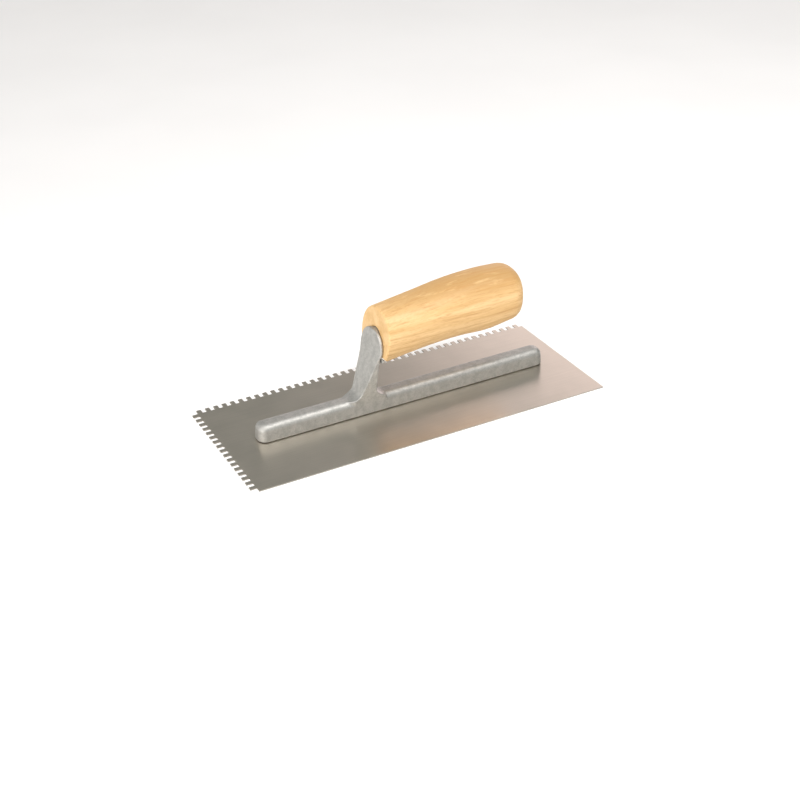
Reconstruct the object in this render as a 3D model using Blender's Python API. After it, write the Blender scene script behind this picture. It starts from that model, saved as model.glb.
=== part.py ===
"""Notched trowel: a thin steel blade, a cast aluminium mounting and a wooden handle.

The frame has +X along the blade away from its notched short edge, +Y towards its notched long
edge and +Z up.  The origin is at the centre of the blade's underside.  Everything is in metres.
"""
import math

import bmesh
import bpy

GAP = 0.0003                      # clearance kept between pieces that touch
OVERRUN = 0.0050                  # how far a cutting shape runs past the surface it opens
TURNED_SIDES = 24
SHARP_ANGLE = math.radians(35)    # edges sharper than this stay crisp in the shading

# Blade: a flat sheet with notches along the back long edge and the left short edge.
BLADE_LENGTH = 0.2794
BLADE_WIDTH = 0.1143
BLADE_THICKNESS = 0.0008
NOTCH_PITCH = 0.00639
NOTCH_WIDTH = 0.0033
NOTCH_DEPTH = 0.0046
CORNER_CUT = 0.0047
FIRST_TOOTH = 0.0034
NOTCHES_LONG = 43
NOTCHES_SHORT = 17

# Mounting bar: a long low bar with drafted sides and rounded shoulders.
BAR_START = -0.1124
BAR_END = 0.1206
BAR_HALF_WIDTH = 0.0075
BAR_TOP = 0.0136
BAR_CORNER = 0.0060
BAR_SHOULDER = 0.0050
BAR_DRAFT = 0.0005
BAR_FOOT = 0.0005

# Post: rises from the bar and spreads into a round-topped plate in front of the handle.
PLATE_Z = 0.0508
PLATE_HALF_WIDTH = 0.0149
PLATE_RISE = 0.0138
POST_ROOT_Z = 0.0085
POST_TOE_X = -0.0470
POST_REAR_X = -0.0224
POST_REAR_FILLET = 0.0075
POST_HEEL = 0.0015
POST_SPREAD = ((0.0070, POST_ROOT_Z), (0.0074, 0.0150), (0.0098, 0.0270), (0.0119, 0.0385),
               (0.0131, 0.0440), (0.0144, 0.0478), (PLATE_HALF_WIDTH, PLATE_Z))
POST_FRONT = ((-0.0450, 0.0133), (-0.0400, 0.0139), (-0.0367, 0.0152), (-0.0341, 0.0179),
              (-0.0307, 0.0270), (-0.0264, 0.0385), (-0.0228, 0.0500), (-0.0218, 0.0570), (-0.0213, 0.0650))
POST_PLAN = ((-0.0470, 0.0012), (-0.0445, 0.0040), (-0.0405, 0.0064), (-0.0365, 0.0082),
             (-0.0335, 0.0112), (-0.0300, 0.0200))
POST_REAR = ((-0.0187, 0.0650), (-0.0206, 0.0510), (-0.0221, 0.0470), (-0.0221, 0.0400))

# Handle: one shaped piece of wood, higher at the rear than at the front.  Its front face leans
# back, and its axis, which the tang and the tie screw follow, climbs towards the rear.
HANDLE_FRONT_X = -0.0190
HANDLE_FRONT_Z = 0.0588
HANDLE_FACE_LEAN = 0.14
HANDLE_UNDERCUT_Z = 0.0475        # below this the front face is cut back under the handle
HANDLE_UNDERCUT_SLOPE = 0.85
HANDLE_UNDERCUT_DROP = 0.0120
HANDLE_DOME_X = 0.0834
HANDLE_REAR_X = 0.0950
HANDLE_FRONT_ROUND = 0.0012
HANDLE_SQUARENESS = 2.3
HANDLE_TOP = ((-0.0190, 0.0783), (0.0160, 0.0833), (0.0420, 0.0873), (0.0660, 0.0889), (0.0834, 0.0882))
HANDLE_BOTTOM = ((-0.0190, 0.0393), (0.0160, 0.0438), (0.0420, 0.0449), (0.0660, 0.0438), (0.0834, 0.0465))
HANDLE_HALF_WIDTH = ((-0.0190, 0.0204), (0.0160, 0.0206), (0.0660, 0.0204), (0.0834, 0.0201))
HANDLE_DOME_POWER = 0.35
HANDLE_REACH = 0.0300              # clear of the handle on both sides
HANDLE_AXIS_Z = 0.0575
HANDLE_AXIS_CLIMB = math.radians(4.8)
HANDLE_STEPS = 14                 # sections between the front edge and the rear dome

# Seat and tang: the pad between the plate and the handle, and the stub inside the handle.
# Positions along the tang are measured from the handle's front face.
SEAT_BOTTOM_Z = 0.0426
SEAT_Z = 0.0500
SEAT_HALF_WIDTH = 0.0142
SEAT_RISE = 0.0108
SEAT_CHAMFER = 0.0010
SEAT_START_X = -0.0211
TANG_START = -0.0020
TANG_END = 0.0290
TANG_RADIUS = 0.0070
TANG_CHAMFER = 0.0010
THREAD_START = 0.0070

# Tie screw: draws the handle onto the tang from its rear end.
SCREW_RADIUS = 0.0030
SCREW_HEAD_RADIUS = 0.0055
SCREW_HEAD_HEIGHT = 0.0040
SCREW_SLOT_WIDTH = 0.0014
SCREW_SLOT_DEPTH = 0.0018
SCREW_CHAMFER = 0.0010
SCREW_START = 0.0100
COUNTERBORE_START = 0.1020
COUNTERBORE_RADIUS = 0.0075
HANDLE_END = 0.1180
WASHER_RADIUS = 0.0068
WASHER_THICKNESS = 0.0012

# Rivets: countersunk from below and closed inside the bar.
RIVET_COUNT = 6
RIVET_MARGIN = 0.0140
RIVET_HEAD_RADIUS = 0.0038
RIVET_SHANK_RADIUS = 0.0020
RIVET_TOP = 0.0078

MATERIALS = {
    "spring_steel": ((0.36, 0.33, 0.29), 0.38, 1.0),
    "cast_aluminium": ((0.48, 0.47, 0.44), 0.46, 1.0),
    "varnished_wood": ((0.78, 0.50, 0.22), 0.42, 0.0),
    "zinc_steel": ((0.52, 0.52, 0.50), 0.35, 1.0),
}


def clear_scene():
    for thing in list(bpy.data.objects):
        bpy.data.objects.remove(thing, do_unlink=True)


def material(name):
    """One Principled material for each kind of surface."""
    found = bpy.data.materials.get(name)
    if found:
        return found
    colour, roughness, metallic = MATERIALS[name]
    made = bpy.data.materials.new(name)
    made.use_nodes = True
    shader = made.node_tree.nodes["Principled BSDF"]
    shader.inputs["Base Color"].default_value = (*colour, 1.0)
    shader.inputs["Roughness"].default_value = roughness
    shader.inputs["Metallic"].default_value = metallic
    return made


def loft(name, loops):
    """A closed solid through loops of equal point counts, with a flat cap at each end."""
    bm = bmesh.new()
    rings = [[bm.verts.new(point) for point in loop] for loop in loops]
    count = len(rings[0])
    for lower, upper in zip(rings, rings[1:]):
        for i in range(count):
            j = (i + 1) % count
            bm.faces.new((lower[i], lower[j], upper[j], upper[i]))
    bm.faces.new(rings[0][::-1])
    bm.faces.new(rings[-1])
    bmesh.ops.recalc_face_normals(bm, faces=bm.faces)
    mesh = bpy.data.meshes.new(name)
    bm.to_mesh(mesh)
    bm.free()
    thing = bpy.data.objects.new(name, mesh)
    bpy.context.scene.collection.objects.link(thing)
    return thing


def prism(name, outline, place, start, end):
    """A straight solid: place(u, v, w) puts outline point (u, v) at height w."""
    loops = [[place(u, v, w) for u, v in outline] for w in (start, end)]
    return loft(name, loops)


def turned(name, profile, place):
    """A round solid: profile holds (position along the axis, radius) pairs."""
    angles = [2 * math.pi * i / TURNED_SIDES for i in range(TURNED_SIDES)]
    loops = [[place(along, r * math.cos(a), r * math.sin(a)) for a in angles] for along, r in profile]
    return loft(name, loops)


def on_handle_axis(along, u, v):
    """A place measured along the handle's climbing axis, sideways and square to both."""
    c, s = math.cos(HANDLE_AXIS_CLIMB), math.sin(HANDLE_AXIS_CLIMB)
    return (HANDLE_FRONT_X + along * c - v * s, u, HANDLE_AXIS_Z + along * s + v * c)


def along_z(x):
    """Places a turned piece on an axis along Z at the given X."""
    return lambda along, u, v: (x + u, v, along)


def arc(centre_u, centre_v, radius, start, end, steps):
    """Points on an arc, angles in degrees."""
    angles = [math.radians(start + (end - start) * i / steps) for i in range(steps + 1)]
    return [(centre_u + radius * math.cos(a), centre_v + radius * math.sin(a)) for a in angles]


def curve_through(points, x):
    """Smooth height at x of a curve through the given points."""
    for i in range(len(points) - 1):
        if x <= points[i + 1][0] or i == len(points) - 2:
            break
    (x1, y1), (x2, y2) = points[i], points[i + 1]
    x0, y0 = points[i - 1] if i else (x1, y1)
    x3, y3 = points[i + 2] if i + 2 < len(points) else (x2, y2)
    slope1 = (y2 - y0) / (x2 - x0)
    slope2 = (y3 - y1) / (x3 - x1)
    t = (x - x1) / (x2 - x1)
    span = x2 - x1
    return ((2 * t**3 - 3 * t**2 + 1) * y1 + (t**3 - 2 * t**2 + t) * span * slope1
            + (3 * t**2 - 2 * t**3) * y2 + (t**3 - t**2) * span * slope2)


def combine(target, tool, operation):
    """Applies one exact Boolean and removes the tool."""
    modifier = target.modifiers.new(operation.lower(), "BOOLEAN")
    modifier.operation = operation
    modifier.solver = "EXACT"
    modifier.object = tool
    graph = bpy.context.evaluated_depsgraph_get()
    result = bpy.data.meshes.new_from_object(target.evaluated_get(graph))
    target.modifiers.remove(modifier)
    old = target.data
    name = old.name
    target.data = result
    bpy.data.meshes.remove(old)
    result.name = name
    bpy.data.objects.remove(tool, do_unlink=True)


def finish_surface(thing, finish):
    mesh = thing.data
    mesh.materials.clear()
    mesh.materials.append(material(finish))
    mesh.shade_smooth()
    mesh.set_sharp_from_angle(angle=SHARP_ANGLE)


def rivet_positions():
    first = BAR_START + RIVET_MARGIN
    last = BAR_END - RIVET_MARGIN
    return [first + (last - first) * i / (RIVET_COUNT - 1) for i in range(RIVET_COUNT)]


def notch_marks(count, full_length):
    """Start and end of each notch along an edge; the last one runs out at the corner."""
    marks = []
    for i in range(count):
        start = CORNER_CUT + FIRST_TOOTH + i * NOTCH_PITCH
        marks.append((start, start + NOTCH_WIDTH))
    marks[-1] = (marks[-1][0], full_length)
    return marks


def blade_outline():
    """Plan of the sheet, seen from above, from the back left corner round the right side."""
    left, back = -BLADE_LENGTH / 2, BLADE_WIDTH / 2
    points = [(left + CORNER_CUT, back)]
    for start, end in notch_marks(NOTCHES_LONG, BLADE_LENGTH):
        points += [(left + start, back), (left + start, back - NOTCH_DEPTH), (left + end, back - NOTCH_DEPTH)]
        if end < BLADE_LENGTH:
            points.append((left + end, back))
    points.append((-left, -back))
    for start, end in reversed(notch_marks(NOTCHES_SHORT, BLADE_WIDTH)):
        if end < BLADE_WIDTH:
            points.append((left, back - end))
        points += [(left + NOTCH_DEPTH, back - end), (left + NOTCH_DEPTH, back - start), (left, back - start)]
    points += [(left, back - CORNER_CUT), (left + CORNER_CUT, back - CORNER_CUT)]
    return points


def countersink(name, x, clearance, top):
    """The shape of a rivet, grown by the clearance when it is used as a cutter."""
    head = RIVET_HEAD_RADIUS + clearance
    shank = RIVET_SHANK_RADIUS + clearance
    neck = BLADE_THICKNESS + GAP / 2
    profile = [(0.0, head), (neck, shank), (top + clearance, shank)]
    if clearance:
        profile.insert(0, (-clearance, head))
    return turned(name, profile, along_z(x))


def make_blade():
    flat = lambda u, v, w: (u, v, w)
    blade = prism("blade", blade_outline(), flat, 0.0, BLADE_THICKNESS)
    for x in rivet_positions():
        combine(blade, countersink("cutter", x, GAP, RIVET_TOP), "DIFFERENCE")
    finish_surface(blade, "spring_steel")


def make_rivets():
    for number, x in enumerate(rivet_positions(), start=1):
        rivet = countersink(f"blade_rivet_{number}", x, 0.0, RIVET_TOP)
        finish_surface(rivet, "zinc_steel")


def rounded_rectangle(inset, z):
    """One level of the bar: its plan, drawn in by the inset."""
    radius = BAR_CORNER - inset
    right = BAR_END - inset - radius
    left = BAR_START + inset + radius
    side = BAR_HALF_WIDTH - inset - radius
    corners = ((right, side, 0), (left, side, 90), (left, -side, 180), (right, -side, 270))
    outline = []
    for x, y, start in corners:
        outline += arc(x, y, radius, start, start + 90, 7)
    return [(x, y, z) for x, y in outline]


def make_bar():
    floor = BLADE_THICKNESS + GAP
    levels = [(BAR_FOOT, floor), (BAR_FOOT * 0.3, floor + BAR_FOOT * 0.3), (0.0, floor + BAR_FOOT)]
    for u, v in arc(0.0, 0.0, BAR_SHOULDER, 0, 90, 8):
        levels.append((BAR_DRAFT + BAR_SHOULDER - u, BAR_TOP - BAR_SHOULDER + v))
    return loft("mounting", [rounded_rectangle(inset, z) for inset, z in levels])


def superellipse(half_width, half_height, roundness, angles):
    """Points of a rounded outline; a roundness of 2 is an ellipse and more is squarer."""
    points = []
    for degrees in angles:
        c, s = math.cos(math.radians(degrees)), math.sin(math.radians(degrees))
        u = half_width * math.copysign(abs(c) ** (2 / roundness), c)
        v = half_height * math.copysign(abs(s) ** (2 / roundness), s)
        points.append((u, v))
    return points


def smooth(points, steps=4):
    """A curved path through the given points, with the same number of steps in every span."""
    ends = [points[0], *points, points[-1]]
    path = [points[0]]
    for before, start, end, after in zip(ends, ends[1:], ends[2:], ends[3:]):
        for i in range(1, steps + 1):
            t = i / steps
            weights = (-t + 2 * t**2 - t**3, 2 - 5 * t**2 + 3 * t**3, t + 4 * t**2 - 3 * t**3, t**3 - t**2)
            corners = (before, start, end, after)
            path.append(tuple(sum(w * c[k] for w, c in zip(weights, corners)) / 2 for k in (0, 1)))
    return path


def post_front_view():
    """Outline of the post seen along X: it spreads from the bar up to the round-topped plate."""
    edge = smooth(POST_SPREAD)
    arch = superellipse(PLATE_HALF_WIDTH, PLATE_RISE, 2.0, range(6, 90, 6))
    right = edge + [(y, PLATE_Z + z) for y, z in arch]
    return right + [(0.0, PLATE_Z + PLATE_RISE)] + [(-y, z) for y, z in reversed(right)]


def handle_face_x(z):
    """X of the handle's leaning front face at height z."""
    return HANDLE_FRONT_X + HANDLE_FACE_LEAN * (z - HANDLE_FRONT_Z)


def post_side_view():
    """Outline of the post seen along Y: a leaning front face and an upright rear."""
    heel = POST_REAR_X + POST_REAR_FILLET
    fillet = arc(heel, BAR_TOP + POST_REAR_FILLET, POST_REAR_FILLET, 180, 270, 6)
    toe = (POST_TOE_X, POST_ROOT_Z)
    return [toe, *smooth(POST_FRONT), *POST_REAR, *fillet, (heel + POST_HEEL, POST_ROOT_Z)]


def undercut_x(z):
    """X of the sloping cut under the handle's front face at height z."""
    return handle_face_x(HANDLE_UNDERCUT_Z) + HANDLE_UNDERCUT_SLOPE * (HANDLE_UNDERCUT_Z - z)


def make_seat():
    """The pad that fills the space from the plate's rear to the handle's face and undercut."""
    low, high = SEAT_BOTTOM_Z - OVERRUN, SEAT_Z + SEAT_RISE + OVERRUN
    side = [(SEAT_START_X, low), (SEAT_START_X, high), (handle_face_x(high) - GAP, high),
            (handle_face_x(HANDLE_UNDERCUT_Z) - GAP, HANDLE_UNDERCUT_Z - GAP),
            (undercut_x(low) - 2 * GAP, low)]
    reach = SEAT_HALF_WIDTH + OVERRUN
    seat = prism("seat", side, lambda u, v, w: (u, w, v), -reach, reach)
    arch = [(y, SEAT_Z + z) for y, z in superellipse(SEAT_HALF_WIDTH, SEAT_RISE, 2.0, range(0, 181, 12))]
    edge = SEAT_HALF_WIDTH - SEAT_CHAMFER
    foot = SEAT_BOTTOM_Z + SEAT_CHAMFER
    outline = arch + [(-SEAT_HALF_WIDTH, foot), (-edge, SEAT_BOTTOM_Z), (edge, SEAT_BOTTOM_Z),
                      (SEAT_HALF_WIDTH, foot)]
    start, end = SEAT_START_X - OVERRUN, undercut_x(low) + OVERRUN
    front = prism("front", outline, lambda u, v, w: (w, u, v), start, end)
    combine(seat, front, "INTERSECT")
    return seat


def make_mounting():
    mounting = make_bar()
    reach = PLATE_HALF_WIDTH + OVERRUN
    post = prism("post", post_side_view(), lambda u, v, w: (u, w, v), -reach, reach)
    start, end = POST_TOE_X - OVERRUN, POST_REAR_X + POST_REAR_FILLET + OVERRUN
    spread = prism("spread", post_front_view(), lambda u, v, w: (w, u, v), start, end)
    combine(post, spread, "INTERSECT")
    toe = smooth(POST_PLAN)
    plan = toe + [(end, toe[-1][1]), (end, -toe[-1][1])] + [(x, -y) for x, y in reversed(toe)]
    low, high = POST_ROOT_Z - OVERRUN, POST_REAR[0][1] + OVERRUN
    combine(post, prism("plan", plan, lambda u, v, w: (u, v, w), low, high), "INTERSECT")
    combine(mounting, post, "UNION")
    combine(mounting, make_seat(), "UNION")
    tang = turned("tang", [(TANG_START, TANG_RADIUS), (TANG_END - TANG_CHAMFER, TANG_RADIUS),
                           (TANG_END, TANG_RADIUS - TANG_CHAMFER)], on_handle_axis)
    combine(mounting, tang, "UNION")
    bore_radius = SCREW_RADIUS + GAP
    bore = turned("bore", [(THREAD_START, bore_radius), (TANG_END + OVERRUN, bore_radius)], on_handle_axis)
    combine(mounting, bore, "DIFFERENCE")
    for x in rivet_positions():
        combine(mounting, countersink("cutter", x, GAP, RIVET_TOP), "DIFFERENCE")
    finish_surface(mounting, "cast_aluminium")


def handle_section(x, inset=0.0, shrink=1.0):
    """The closed section of the handle at x as (y, z) points, drawn in by the inset or scaled."""
    top, bottom = curve_through(HANDLE_TOP, x), curve_through(HANDLE_BOTTOM, x)
    half_width = curve_through(HANDLE_HALF_WIDTH, x) * shrink - inset
    half_height = (top - bottom) / 2 * shrink - inset
    centre = (top + bottom) / 2
    outline = superellipse(half_width, half_height, HANDLE_SQUARENESS, range(0, 360, 9))
    return [(y, centre + z) for y, z in outline]


def make_handle():
    loops = []
    for degrees in (90, 60, 30, 0):
        a = math.radians(degrees)
        setback = HANDLE_FRONT_ROUND * (1 - math.cos(math.radians(90 - degrees)))
        inset = HANDLE_FRONT_ROUND * (1 - math.cos(a))
        section = handle_section(HANDLE_FRONT_X + setback, inset)
        loops.append([(handle_face_x(z) + setback, y, z) for y, z in section])
    body_start = HANDLE_FRONT_X + HANDLE_FRONT_ROUND
    for i in range(1, HANDLE_STEPS + 1):
        share = i / HANDLE_STEPS
        x = body_start + (HANDLE_DOME_X - body_start) * share
        section = handle_section(x)
        fade = max(0.0, 1 - 2 * share)
        loops.append([(x + fade * HANDLE_FACE_LEAN * (z - HANDLE_FRONT_Z), y, z) for y, z in section])
    for degrees in (15, 30, 45, 60, 72, 82):
        a = math.radians(degrees)
        x = HANDLE_DOME_X + (HANDLE_REAR_X - HANDLE_DOME_X) * math.sin(a)
        section = handle_section(HANDLE_DOME_X, 0.0, math.cos(a) ** HANDLE_DOME_POWER)
        loops.append([(x, y, z) for y, z in section])
    handle = loft("handle", loops)
    low, high = HANDLE_UNDERCUT_Z - HANDLE_UNDERCUT_DROP, HANDLE_UNDERCUT_Z + OVERRUN
    corner = [(undercut_x(high), high), (undercut_x(low), low), (undercut_x(high), low)]
    undercut = prism("undercut", corner, lambda u, v, w: (u, w, v), -HANDLE_REACH, HANDLE_REACH)
    combine(handle, undercut, "DIFFERENCE")
    cuts = ((-OVERRUN, TANG_END + GAP, TANG_RADIUS + GAP),
            (TANG_END, COUNTERBORE_START + OVERRUN, SCREW_RADIUS + GAP),
            (COUNTERBORE_START, HANDLE_END, COUNTERBORE_RADIUS))
    for start, end, radius in cuts:
        combine(handle, turned("cut", [(start, radius), (end, radius)], on_handle_axis), "DIFFERENCE")
    finish_surface(handle, "varnished_wood")


def make_tie_screw():
    start = COUNTERBORE_START + GAP
    face = start + WASHER_THICKNESS
    washer = turned("screw_washer", [(start, WASHER_RADIUS), (face, WASHER_RADIUS)], on_handle_axis)
    radius = SCREW_RADIUS + GAP
    hole = turned("hole", [(start - OVERRUN, radius), (face + OVERRUN, radius)], on_handle_axis)
    combine(washer, hole, "DIFFERENCE")
    finish_surface(washer, "zinc_steel")

    head = face + GAP
    end = head + SCREW_HEAD_HEIGHT
    chamfer = SCREW_CHAMFER
    profile = [(SCREW_START, SCREW_RADIUS - chamfer), (SCREW_START + chamfer, SCREW_RADIUS),
               (head, SCREW_RADIUS), (head, SCREW_HEAD_RADIUS),
               (end - chamfer, SCREW_HEAD_RADIUS), (end, SCREW_HEAD_RADIUS - chamfer)]
    screw = turned("handle_screw", profile, on_handle_axis)
    half = SCREW_SLOT_WIDTH / 2
    reach = SCREW_HEAD_RADIUS + OVERRUN
    outline = [(-half, -reach), (half, -reach), (half, reach), (-half, reach)]
    along = lambda u, v, w: on_handle_axis(w, v, u)
    slot = prism("slot", outline, along, end - SCREW_SLOT_DEPTH, end + OVERRUN)
    combine(screw, slot, "DIFFERENCE")
    finish_surface(screw, "zinc_steel")


clear_scene()
make_blade()
make_rivets()
make_mounting()
make_handle()
make_tie_screw()
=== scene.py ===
"""Looks of the notched trowel: steel blade, cast aluminium mounting and varnished wooden handle.

Everything is in metres in the part's own frame: +X along the blade, +Y towards its notched long
edge, +Z up, with the origin under the middle of the blade.
"""
import math

import bmesh
import bpy
from mathutils import Euler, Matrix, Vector


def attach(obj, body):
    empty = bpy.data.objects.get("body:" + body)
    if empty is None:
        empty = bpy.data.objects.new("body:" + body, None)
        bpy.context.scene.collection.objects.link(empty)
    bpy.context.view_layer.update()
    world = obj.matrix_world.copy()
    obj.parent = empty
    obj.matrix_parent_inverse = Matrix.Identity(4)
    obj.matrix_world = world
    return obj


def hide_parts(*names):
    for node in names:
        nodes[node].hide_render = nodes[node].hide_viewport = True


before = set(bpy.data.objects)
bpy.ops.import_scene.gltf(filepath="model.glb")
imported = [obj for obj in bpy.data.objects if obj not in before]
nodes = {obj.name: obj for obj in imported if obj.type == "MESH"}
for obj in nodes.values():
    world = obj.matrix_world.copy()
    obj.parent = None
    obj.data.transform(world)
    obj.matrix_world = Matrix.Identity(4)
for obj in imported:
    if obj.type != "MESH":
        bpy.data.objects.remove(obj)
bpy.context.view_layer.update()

# ---------------------------------------------------------------------------------------------
# Camera
# ---------------------------------------------------------------------------------------------
CAMERA_PLACE = (-0.3933, -0.7301, 0.4986)
CAMERA_HEADING = math.radians(-28.34)     # turned from +Y towards +X
CAMERA_PITCH = math.radians(31.0)         # below the horizon
CAMERA_ROLL = math.radians(-0.45)
CAMERA_LENS = 59.95                       # mm, on a 36 mm sensor


def make_camera():
    data = bpy.data.cameras.new("camera")
    data.lens = CAMERA_LENS
    data.sensor_width = 36.0
    data.clip_start = 0.01
    camera = bpy.data.objects.new("camera", data)
    bpy.context.scene.collection.objects.link(camera)
    heading = Euler((0.0, 0.0, CAMERA_HEADING)).to_matrix()
    tilt = Euler((math.pi / 2 - CAMERA_PITCH, 0.0, 0.0)).to_matrix()
    roll = Euler((0.0, 0.0, CAMERA_ROLL)).to_matrix()
    camera.matrix_world = (heading @ tilt @ roll).to_4x4()
    camera.location = CAMERA_PLACE
    bpy.context.scene.camera = camera


# ---------------------------------------------------------------------------------------------
# Node helpers
# ---------------------------------------------------------------------------------------------
class Tree:
    """A short way to write a node tree."""

    def __init__(self, tree):
        self.tree = tree
        tree.nodes.clear()

    def add(self, kind):
        return self.tree.nodes.new("ShaderNode" + kind)

    def feed(self, value, socket):
        """Links an output, or sets a plain value or an opaque colour."""
        if isinstance(value, bpy.types.NodeSocket):
            self.tree.links.new(value, socket)
        elif socket.type == "RGBA":
            socket.default_value = (*value, 1.0)
        else:
            socket.default_value = value

    def calc(self, operation, a, b=0.0):
        node = self.add("Math")
        node.operation = operation
        self.feed(a, node.inputs[0])
        self.feed(b, node.inputs[1])
        return node.outputs[0]

    def rest(self, share):
        """What a share leaves of one."""
        return self.calc("SUBTRACT", 1.0, share)

    def span(self, value, low, high, to_low=0.0, to_high=1.0):
        """Maps low..high of a value smoothly on to to_low..to_high."""
        node = self.add("MapRange")
        node.interpolation_type = "SMOOTHSTEP"
        self.feed(value, node.inputs["Value"])
        node.inputs["From Min"].default_value = low
        node.inputs["From Max"].default_value = high
        node.inputs["To Min"].default_value = to_low
        node.inputs["To Max"].default_value = to_high
        return node.outputs["Result"]

    def mix(self, share, first, second):
        node = self.add("Mix")
        node.data_type = "RGBA"
        self.feed(share, node.inputs["Factor"])
        self.feed(first, node.inputs[6])
        self.feed(second, node.inputs[7])
        return node.outputs[2]

    def part(self, vector, axis):
        """One component of a vector."""
        node = self.add("SeparateXYZ")
        self.feed(vector, node.inputs["Vector"])
        return node.outputs[axis]

    def joined(self, **parts):
        """A vector from its components. Those left out are zero."""
        node = self.add("CombineXYZ")
        for axis, value in parts.items():
            self.feed(value, node.inputs[axis])
        return node.outputs["Vector"]


class Surface(Tree):
    """A material with one Principled shader, laid out in the piece's own coordinates."""

    def __init__(self, name):
        self.material = bpy.data.materials.new(name)
        self.material.use_nodes = True
        super().__init__(self.material.node_tree)
        self.shader = self.add("BsdfPrincipled")
        self.feed(self.shader.outputs["BSDF"], self.add("OutputMaterial").inputs["Surface"])
        self.place = self.add("TexCoord").outputs["Object"]

    def stretched(self, scale, turn=(0.0, 0.0, 0.0), shift=(0.0, 0.0, 0.0), source=None):
        node = self.add("Mapping")
        node.inputs["Scale"].default_value = scale
        node.inputs["Rotation"].default_value = turn
        node.inputs["Location"].default_value = shift
        self.feed(source or self.place, node.inputs["Vector"])
        return node.outputs["Vector"]

    def noise(self, vector, scale=1.0, detail=3.0, roughness=0.55, distortion=0.0):
        node = self.add("TexNoise")
        node.inputs["Scale"].default_value = scale
        node.inputs["Detail"].default_value = detail
        node.inputs["Roughness"].default_value = roughness
        node.inputs["Distortion"].default_value = distortion
        self.feed(vector, node.inputs["Vector"])
        return node.outputs["Fac"]

    def cells(self, vector, scale):
        """Distance to the nearest of many scattered points."""
        node = self.add("TexVoronoi")
        node.inputs["Scale"].default_value = scale
        self.feed(vector, node.inputs["Vector"])
        return node.outputs["Distance"]

    def bump(self, height, strength, distance, previous=None):
        node = self.add("Bump")
        node.inputs["Strength"].default_value = strength
        node.inputs["Distance"].default_value = distance
        self.feed(height, node.inputs["Height"])
        if previous:
            self.feed(previous, node.inputs["Normal"])
        return node.outputs["Normal"]

    def facing(self, axis):
        """How squarely the surface faces along an axis, from 0 to 1."""
        return self.calc("ABSOLUTE", self.part(self.add("NewGeometry").outputs["Normal"], axis))

    def set(self, **values):
        for name, value in values.items():
            self.feed(value, self.shader.inputs[name.replace("_", " ")])


# ---------------------------------------------------------------------------------------------
# Materials: colours, then one function each
# ---------------------------------------------------------------------------------------------
STEEL = (0.580, 0.538, 0.468)
STEEL_PALE = (0.618, 0.570, 0.497)
STEEL_GRAIN = (0.520, 0.482, 0.420)
# Edge-face tone: partly the duller sheared finish, partly painted shade along the sheet's edges.
STEEL_SHEARED_AND_SHADE = (0.300, 0.280, 0.245)

CAST = (0.425, 0.423, 0.404)
CAST_PALE = (0.520, 0.516, 0.493)
CAST_SAND = (0.650, 0.642, 0.615)
CAST_PIT = (0.290, 0.284, 0.262)

WOOD = (0.640, 0.405, 0.172)
WOOD_PALE = (0.750, 0.512, 0.256)
# Painted shade: the darker brown laid over the top of the handle.
WOOD_TOP_SHADE = (0.480, 0.285, 0.108)
WOOD_STREAK = (0.500, 0.275, 0.095)
WOOD_FLECK = (0.840, 0.605, 0.320)
WOOD_PORE = (0.470, 0.240, 0.080)
WOOD_GRAIN_TILT = (0.0, math.radians(4.0), 0.0)
WOOD_WAVE_Y = 0.004               # how far the grain wanders sideways
WOOD_WAVE_Z = 0.006               # and up
# Painted shade on the top of the handle: the heights it spans, and how unevenly it starts.
WOOD_TOP_SHADE_Z = (0.080, 0.092)     # the wood darkens over these heights
WOOD_TOP_SHADE_UNEVENNESS = 0.012

ZINC = (0.500, 0.505, 0.500)
ZINC_PALE = (0.640, 0.645, 0.640)

FLOOR = (0.93, 0.93, 0.93)
FLOOR_PALE = (0.95, 0.95, 0.95)


def rolled_steel():
    """Satin sheet brushed along the blade, with faint clouding; its sheared edges are duller, and darker
    partly by their own finish and partly by painted shade.
    """
    n = Surface("rolled_steel")
    grain = n.noise(n.stretched((14.0, 900.0, 60.0)), detail=4.0, roughness=0.6)
    clouds = n.noise(n.place, scale=42.0)
    sheared_and_shade = n.span(n.facing("Z"), 0.85, 0.55)
    tone = n.mix(n.span(clouds, 0.3, 0.7), STEEL, STEEL_PALE)
    tone = n.mix(n.span(grain, 0.35, 0.70, 0.0, 0.35), tone, STEEL_GRAIN)
    # Painted shade, partly: the edge faces are darkened for their sheared finish and in place of the contact
    # shadow along the edge.
    tone = n.mix(n.calc("MULTIPLY", sheared_and_shade, 0.7), tone, STEEL_SHEARED_AND_SHADE)
    roughness = n.calc("ADD", n.span(clouds, 0.3, 0.7, 0.285, 0.305), n.calc("MULTIPLY", sheared_and_shade, 0.10))
    n.set(Base_Color=tone, Roughness=roughness, Metallic=1.0)
    n.set(Anisotropic=0.50, Tangent=n.joined(Y=1.0))
    brushing = n.noise(n.stretched((10.0, 420.0, 60.0)), detail=1.0, roughness=0.5)
    n.set(Normal=n.bump(brushing, 0.05, 0.00003))
    return n.material


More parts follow.
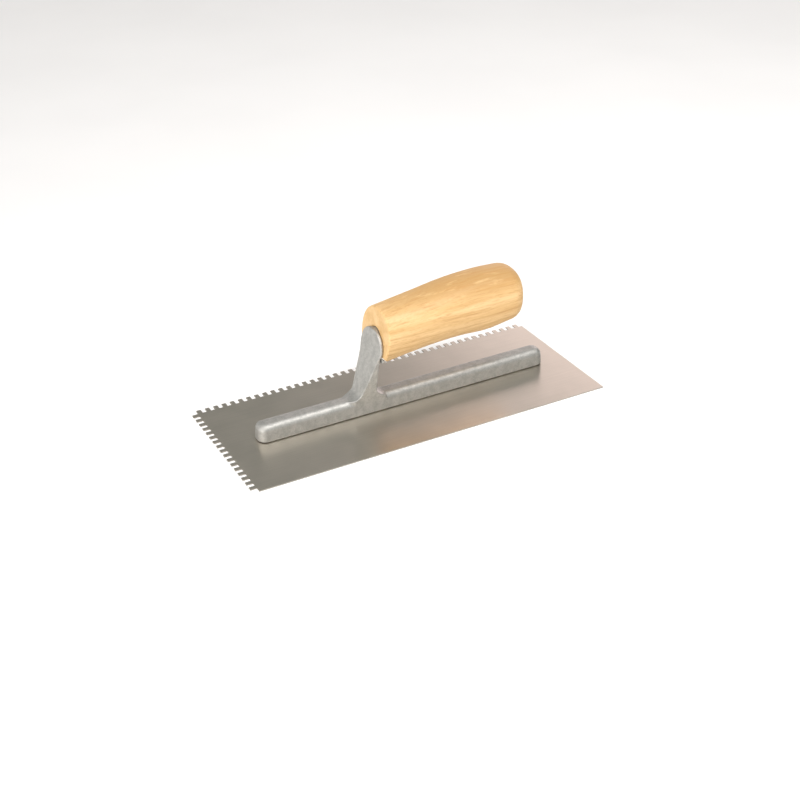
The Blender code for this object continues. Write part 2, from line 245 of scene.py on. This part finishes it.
def cast_aluminium():
    """Sand cast and tumbled: a fine grainy skin with faint mottling and small dull pits."""
    n = Surface("cast_aluminium")
    blotches = n.noise(n.place, scale=240.0, detail=4.0, roughness=0.62, distortion=0.4)
    sand = n.noise(n.place, scale=1150.0, roughness=0.6)
    pits = n.span(n.cells(n.place, scale=640.0), 0.10, 0.32)
    tone = n.mix(n.span(blotches, 0.32, 0.68), CAST, CAST_PALE)
    tone = n.mix(n.span(sand, 0.52, 0.75, 0.0, 0.35), tone, CAST_SAND)
    tone = n.mix(n.calc("MULTIPLY", n.rest(pits), 0.35), tone, CAST_PIT)
    roughness = n.calc("ADD", n.span(blotches, 0.3, 0.7, 0.62, 0.57), n.span(sand, 0.3, 0.7, 0.04, -0.03))
    n.set(Base_Color=tone, Roughness=roughness, Metallic=1.0)
    normal = n.bump(blotches, 0.25, 0.00010)
    normal = n.bump(sand, 0.40, 0.00009, normal)
    n.set(Normal=n.bump(pits, 0.25, 0.00007, normal))
    return n.material


def varnished_wood():
    """Pale straight-grained hardwood under a thin clear varnish, with painted shade darkening the top of the
    handle.
    """
    n = Surface("varnished_wood")
    waviness = n.noise(n.stretched((9.0, 30.0, 30.0)), detail=2.0, roughness=0.5)
    sideways = n.calc("MULTIPLY", waviness, WOOD_WAVE_Y)
    wander = n.joined(Y=sideways, Z=n.calc("MULTIPLY", waviness, WOOD_WAVE_Z))
    bent = n.add("VectorMath")
    bent.operation = "ADD"
    n.feed(n.place, bent.inputs[0])
    n.feed(wander, bent.inputs[1])

    def grown(scale, detail, roughness, shift=(0.0, 0.0, 0.0)):
        """Noise drawn out along the wandering grain."""
        vector = n.stretched(scale, WOOD_GRAIN_TILT, shift, bent.outputs["Vector"])
        return n.noise(vector, detail=detail, roughness=roughness)

    broad = grown((7.0, 130.0, 150.0), 3.0, 0.6)
    streaks = grown((13.0, 480.0, 430.0), 4.0, 0.65, (0.3, 0.1, 0.2))
    pores = grown((130.0, 2600.0, 2300.0), 2.0, 0.5, (0.7, 0.2, 0.4))
    flecks = grown((55.0, 260.0, 240.0), 3.0, 0.6, (0.1, 0.9, 0.5))

    tone = n.mix(n.span(broad, 0.30, 0.70), WOOD, WOOD_PALE)
    # Painted shade: the top of the handle is darkened with height, where less light falls on it.
    height = n.calc("ADD", n.part(n.place, "Z"), n.calc("MULTIPLY", broad, WOOD_TOP_SHADE_UNEVENNESS))
    tone = n.mix(n.calc("MULTIPLY", n.span(height, *WOOD_TOP_SHADE_Z), 0.85), tone, WOOD_TOP_SHADE)
    long_grain = n.span(n.facing("X"), 0.75, 0.95, 1.0, 0.15)
    dark = n.calc("MULTIPLY", n.span(streaks, 0.47, 0.66, 0.0, 0.62), long_grain)
    tone = n.mix(dark, tone, WOOD_STREAK)
    tone = n.mix(n.span(flecks, 0.55, 0.80, 0.0, 0.45), tone, WOOD_FLECK)
    fine = n.calc("MULTIPLY", n.span(pores, 0.54, 0.68, 0.0, 0.45), long_grain)
    tone = n.mix(fine, tone, WOOD_PORE)
    roughness = n.calc("ADD", n.span(streaks, 0.35, 0.7, 0.50, 0.58), n.span(pores, 0.5, 0.7, 0.0, 0.05))
    n.set(Base_Color=tone, Roughness=roughness, Specular_IOR_Level=0.30)
    n.set(Coat_Weight=0.08, Coat_Roughness=0.40)
    normal = n.bump(streaks, 0.12, 0.00010)
    n.set(Normal=n.bump(n.rest(pores), 0.10, 0.00006, normal))
    return n.material


def zinc_steel():
    """Zinc-plated fasteners: slightly cloudy and finely turned."""
    n = Surface("zinc_steel")
    clouds = n.noise(n.place, scale=700.0, roughness=0.6)
    marks = n.noise(n.stretched((300.0, 2500.0, 300.0)), detail=2.0, roughness=0.5)
    n.set(Base_Color=n.mix(n.span(clouds, 0.3, 0.7), ZINC, ZINC_PALE), Metallic=1.0)
    n.set(Roughness=n.span(clouds, 0.3, 0.7, 0.28, 0.40))
    n.set(Normal=n.bump(marks, 0.10, 0.00004))
    return n.material


def floor_white():
    n = Surface("floor_white")
    shade = n.noise(n.place, scale=6.0, detail=2.0, roughness=0.5)
    n.set(Base_Color=n.mix(n.span(shade, 0.3, 0.7), FLOOR, FLOOR_PALE))
    n.set(Roughness=0.9, Specular_IOR_Level=0.2)
    return n.material


# ---------------------------------------------------------------------------------------------
# Mesh helpers
# ---------------------------------------------------------------------------------------------
def add_piece(name, mesh, material, slot, *replaced):
    piece = bpy.data.objects.new(name, mesh)
    bpy.context.scene.collection.objects.link(piece)
    mesh.materials.clear()
    mesh.materials.append(material)
    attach(piece, "root")
    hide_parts(*replaced)
    return piece


def settled(piece):
    """Turns the piece's modifiers into plain mesh."""
    graph = bpy.context.evaluated_depsgraph_get()
    mesh = bpy.data.meshes.new_from_object(piece.evaluated_get(graph))
    piece.modifiers.clear()
    old = piece.data
    piece.data = mesh
    bpy.data.meshes.remove(old)


def modifier(piece, kind, **settings):
    made = piece.modifiers.new(kind.lower(), kind)
    for key, value in settings.items():
        setattr(made, key, value)


# ---------------------------------------------------------------------------------------------
# Pieces
# ---------------------------------------------------------------------------------------------
BLADE_EDGE = 0.00012                      # bevel on the sheared edges of the sheet
BLADE_EDGE_ANGLE = math.radians(50)       # edges sharper than this are bevelled
BLADE_SHARP_ANGLE = math.radians(40)      # edges sharper than this stay crisp in the shading
CAST_VOXEL = 0.00035
CAST_SMOOTHING = 10
WOOD_VOXEL = 0.0005
WOOD_SMOOTHING = 5


def make_blade(steel):
    mesh = nodes["blade"].data.copy()
    blade = add_piece("steel_blade", mesh, steel, "spring_steel", "blade")
    modifier(blade, "BEVEL", width=BLADE_EDGE, segments=2, limit_method="ANGLE", angle_limit=BLADE_EDGE_ANGLE)
    settled(blade)
    blade.data.shade_smooth()
    blade.data.set_sharp_from_angle(angle=BLADE_SHARP_ANGLE)


def soften(piece, material, voxel, smoothing):
    """Rounds off every edge, by meshing the piece anew in small cells and evening them out."""
    modifier(piece, "REMESH", mode="VOXEL", voxel_size=voxel, use_smooth_shade=True)
    modifier(piece, "SMOOTH", factor=0.5, iterations=smoothing)
    settled(piece)
    piece.data.materials.clear()
    piece.data.materials.append(material)
    piece.data.shade_smooth()


def make_mounting(aluminium):
    mesh = nodes["mounting"].data.copy()
    casting = add_piece("casting", mesh, aluminium, "cast_aluminium", "mounting")
    soften(casting, aluminium, CAST_VOXEL, CAST_SMOOTHING)


def make_handle(wood):
    mesh = nodes["handle"].data.copy()
    handle = add_piece("grip", mesh, wood, "varnished_wood", "handle")
    soften(handle, wood, WOOD_VOXEL, WOOD_SMOOTHING)


def dress_fasteners(zinc):
    for name, node in nodes.items():
        if "rivet" in name or "screw" in name:
            for place in node.material_slots:
                place.material = zinc


# ---------------------------------------------------------------------------------------------
# Stage and light
# ---------------------------------------------------------------------------------------------
FLOOR_SIZE = 12.0

SKY_BEHIND = (0.335, 0.342, 0.330)        # the wall beyond the trowel, towards +Y
SKY_BEHIND_Y = (-0.15, 0.30)              # it takes over between these shares of +Y
SKY_SIDE = (0.16, 0.166, 0.16)            # the wall on the other side, towards -Y

# A bright panel on the wall beyond. Its left edge leans to the right as it rises.
PANEL_COLOUR = (2.90, 2.45, 2.44)
PANEL_SLANT = 3.4                         # turn to the right for each unit of rise
PANEL_LOWEST = math.radians(25)           # below this the edge runs straight down
PANEL_START = (math.radians(-62), math.radians(-53))
PANEL_END = (math.radians(48), math.radians(62))
PANEL_TOP = (0.62, 0.80)

# A soft glow on the wall at the left end.
GLOW_COLOUR = (1.80, 1.75, 1.71)
GLOW_AIM = (-0.91, -0.36, 0.12)
GLOW_SPREAD = (0.25, 0.80)


def make_floor():
    bm = bmesh.new()
    half = FLOOR_SIZE / 2
    corners = [(-half, -half), (half, -half), (half, half), (-half, half)]
    bm.faces.new([bm.verts.new((x, y, 0.0)) for x, y in corners])
    mesh = bpy.data.meshes.new("floor")
    bm.to_mesh(mesh)
    bm.free()
    floor = bpy.data.objects.new("floor", mesh)
    bpy.context.scene.collection.objects.link(floor)
    mesh.materials.append(floor_white())


def make_sky():
    """Two dim walls, with a bright panel on the far one and a soft glow at the left end."""
    world = bpy.data.worlds.new("tent")
    world.use_nodes = True
    n = Tree(world.node_tree)
    background = n.add("Background")
    n.feed(background.outputs[0], n.add("OutputWorld").inputs["Surface"])
    direction = n.add("TexCoord").outputs["Generated"]
    x, y, z = (n.part(direction, axis) for axis in "XYZ")

    behind = n.span(y, *SKY_BEHIND_Y)
    colour = n.mix(behind, SKY_SIDE, SKY_BEHIND)

    turn = n.calc("ARCTAN2", x, y)
    rise = n.calc("MAXIMUM", n.calc("ARCSINE", z), PANEL_LOWEST)
    sideways = n.calc("SUBTRACT", turn, n.calc("MULTIPLY", rise, PANEL_SLANT))
    panel = n.calc("MULTIPLY", n.span(sideways, *PANEL_START), behind)
    panel = n.calc("MULTIPLY", panel, n.rest(n.span(turn, *PANEL_END)))
    panel = n.calc("MULTIPLY", panel, n.rest(n.span(z, *PANEL_TOP)))
    colour = n.mix(panel, colour, PANEL_COLOUR)

    towards = n.add("VectorMath")
    towards.operation = "DOT_PRODUCT"
    n.feed(direction, towards.inputs[0])
    towards.inputs[1].default_value = Vector(GLOW_AIM).normalized()
    colour = n.mix(n.span(towards.outputs["Value"], *GLOW_SPREAD), colour, GLOW_COLOUR)
    n.feed(colour, background.inputs["Color"])
    bpy.context.scene.world = world


def area_light(name, place, target, width, height, watts, colour):
    data = bpy.data.lights.new(name, "AREA")
    data.shape = "RECTANGLE"
    data.size = width
    data.size_y = height
    data.energy = watts
    data.color = colour
    lamp = bpy.data.objects.new(name, data)
    bpy.context.scene.collection.objects.link(lamp)
    lamp.location = place
    aim = Vector(target) - Vector(place)
    lamp.rotation_euler = aim.to_track_quat("-Z", "Y").to_euler()


def make_lights():
    area_light("key", place=(-2.35, -1.05, 0.54), target=(0.0, 0.0, 0.05), width=1.2, height=0.75,
               watts=13.0, colour=(1.0, 0.97, 0.94))
    area_light("over", place=(0.20, -0.62, 1.40), target=(0.0, 0.0, 0.02), width=0.8, height=0.7,
               watts=19.0, colour=(1.0, 0.98, 0.97))


make_camera()
make_floor()
make_sky()
make_lights()
make_blade(rolled_steel())
make_mounting(cast_aluminium())
make_handle(varnished_wood())
dress_fasteners(zinc_steel())

bpy.context.scene.view_settings.view_transform = "Standard"
bpy.context.scene.view_settings.look = "None"
